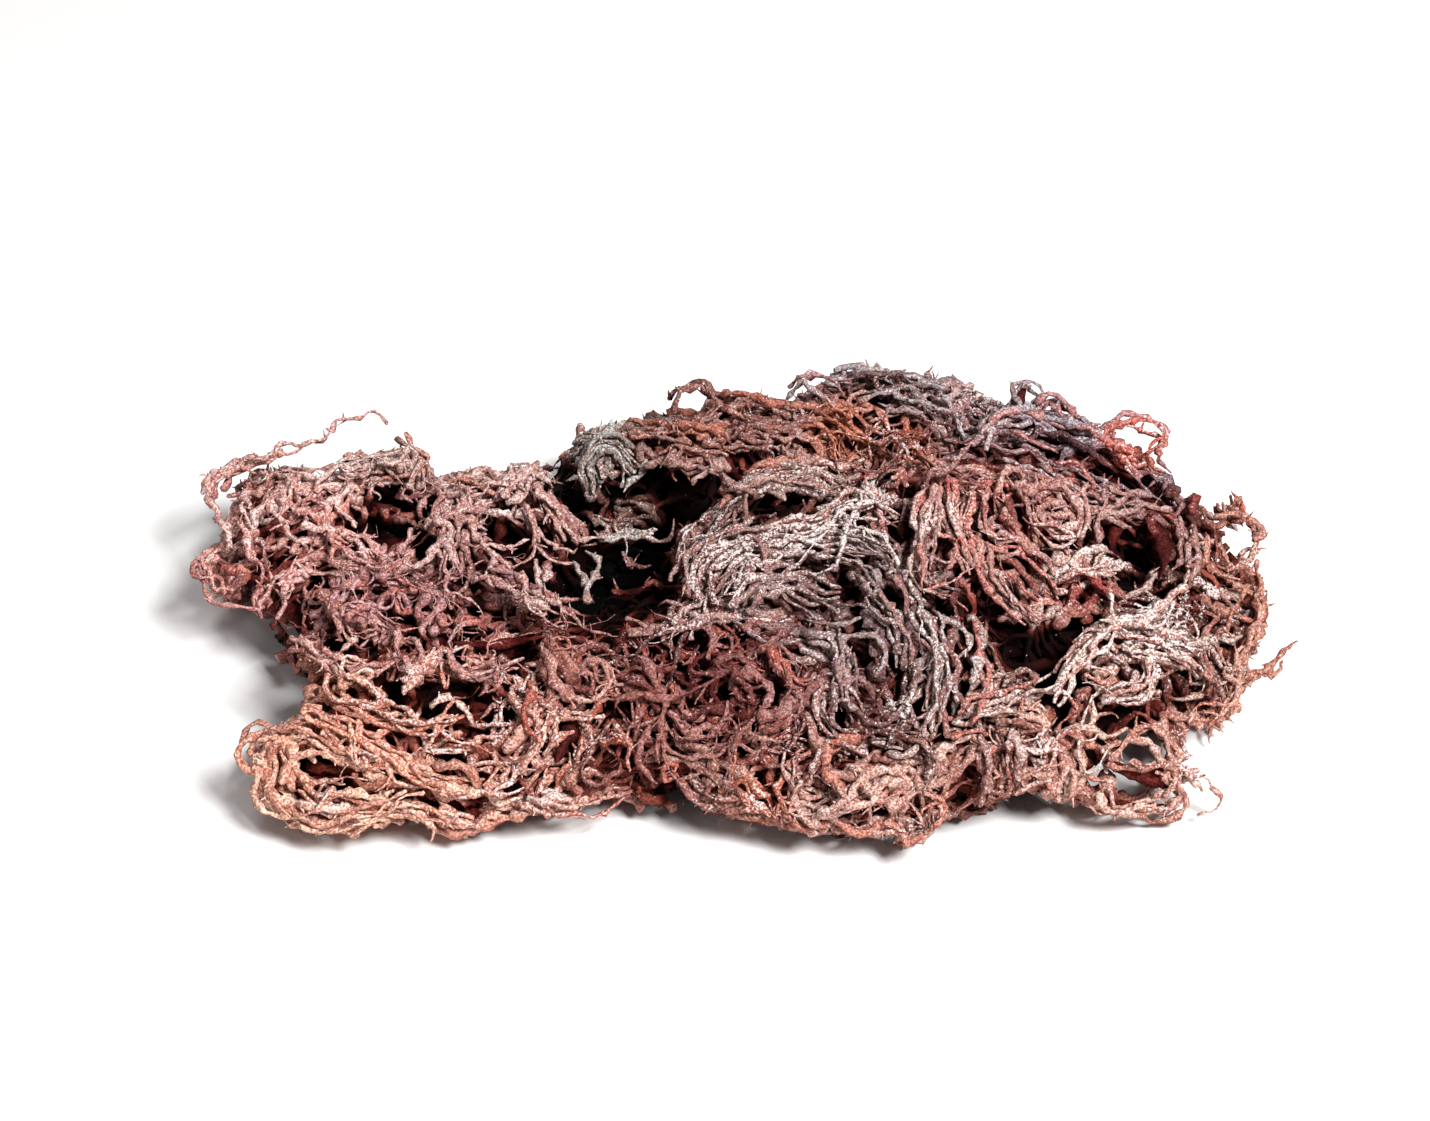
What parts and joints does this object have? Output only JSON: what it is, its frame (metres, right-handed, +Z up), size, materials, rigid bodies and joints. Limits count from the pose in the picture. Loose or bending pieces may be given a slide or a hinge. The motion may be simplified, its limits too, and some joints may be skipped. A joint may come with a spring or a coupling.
{
  "type": "dried irish moss heap",
  "caption": "Tangled heap of dried irish moss: wiry, forked rose, orange, grey and purple seaweed fronds with a dark hollow.",
  "frame": {"origin": "on the surface that the heap lies on, under the middle of its bounding box", "axes": "+X from the left lobe to the right end, along the heap's length; +Y from the front to the back; +Z up"},
  "size_m": [0.3037, 0.1854, 0.067],
  "materials": {
    "left_rose_tuft": "matt, dry, knobbly, with white salt crust in places",
    "left_back_tuft": "matt, dry, knobbly, with white salt crust in places",
    "left_inner_tuft": "matt, dry, knobbly, with white salt crust in places",
    "left_front_tuft": "matt, dry, knobbly, with white salt crust in places",
    "orange_corner_bundle": "matt, dry, knobbly, with white salt crust in places",
    "crusted_front_tuft": "matt, dry, knobbly, with white salt crust in places",
    "front_red_tuft": "matt, dry, knobbly, with white salt crust in places",
    "hollow_grey_loops": "matt, dry, knobbly, with white salt crust in places",
    "hollow_bed_tuft": "matt, dry, knobbly, with white salt crust in places",
    "grey_swirl_bundle": "matt, dry, knobbly, with white salt crust in places",
    "tan_ridge_tuft": "matt, dry, knobbly, with white salt crust in places",
    "purple_crown_tuft": "matt, dry, knobbly, with white salt crust in places",
    "purple_shoulder_bundle": "matt, dry, knobbly, with white salt crust in places",
    "coral_bundle": "matt, dry, knobbly, with white salt crust in places",
    "dark_fold_tuft": "matt, dry, knobbly, with white salt crust in places",
    "red_rim_tuft": "matt, dry, knobbly, with white salt crust in places",
    "crusted_band_tuft": "matt, dry, knobbly, with white salt crust in places",
    "ashen_band_tuft": "matt, dry, knobbly, with white salt crust in places",
    "inner_rose_tuft": "matt, dry, knobbly, with white salt crust in places",
    "front_lip_tuft": "matt, dry, knobbly, with white salt crust in places",
    "right_front_tuft": "matt, dry, knobbly, with white salt crust in places",
    "back_left_tuft": "matt, dry, knobbly, with white salt crust in places",
    "back_middle_tuft": "matt, dry, knobbly, with white salt crust in places",
    "back_right_tuft": "matt, dry, knobbly, with white salt crust in places"
  },
  "bodies": {
    "root": {"left_rose_tuft": "left_rose_tuft", "left_back_tuft": "left_back_tuft", "left_inner_tuft": "left_inner_tuft", "left_front_tuft": "left_front_tuft", "orange_corner_bundle": "orange_corner_bundle", "crusted_front_tuft": "crusted_front_tuft", "front_red_tuft": "front_red_tuft", "hollow_grey_loops": "hollow_grey_loops", "hollow_bed_tuft": "hollow_bed_tuft", "grey_swirl_bundle": "grey_swirl_bundle", "tan_ridge_tuft": "tan_ridge_tuft", "purple_crown_tuft": "purple_crown_tuft", "purple_shoulder_bundle": "purple_shoulder_bundle", "coral_bundle": "coral_bundle", "dark_fold_tuft": "dark_fold_tuft", "red_rim_tuft": "red_rim_tuft", "crusted_band_tuft": "crusted_band_tuft", "ashen_band_tuft": "ashen_band_tuft", "inner_rose_tuft": "inner_rose_tuft", "front_lip_tuft": "front_lip_tuft", "right_front_tuft": "right_front_tuft", "back_left_tuft": "back_left_tuft", "back_middle_tuft": "back_middle_tuft", "back_right_tuft": "back_right_tuft"}
  },
  "joints": []
}
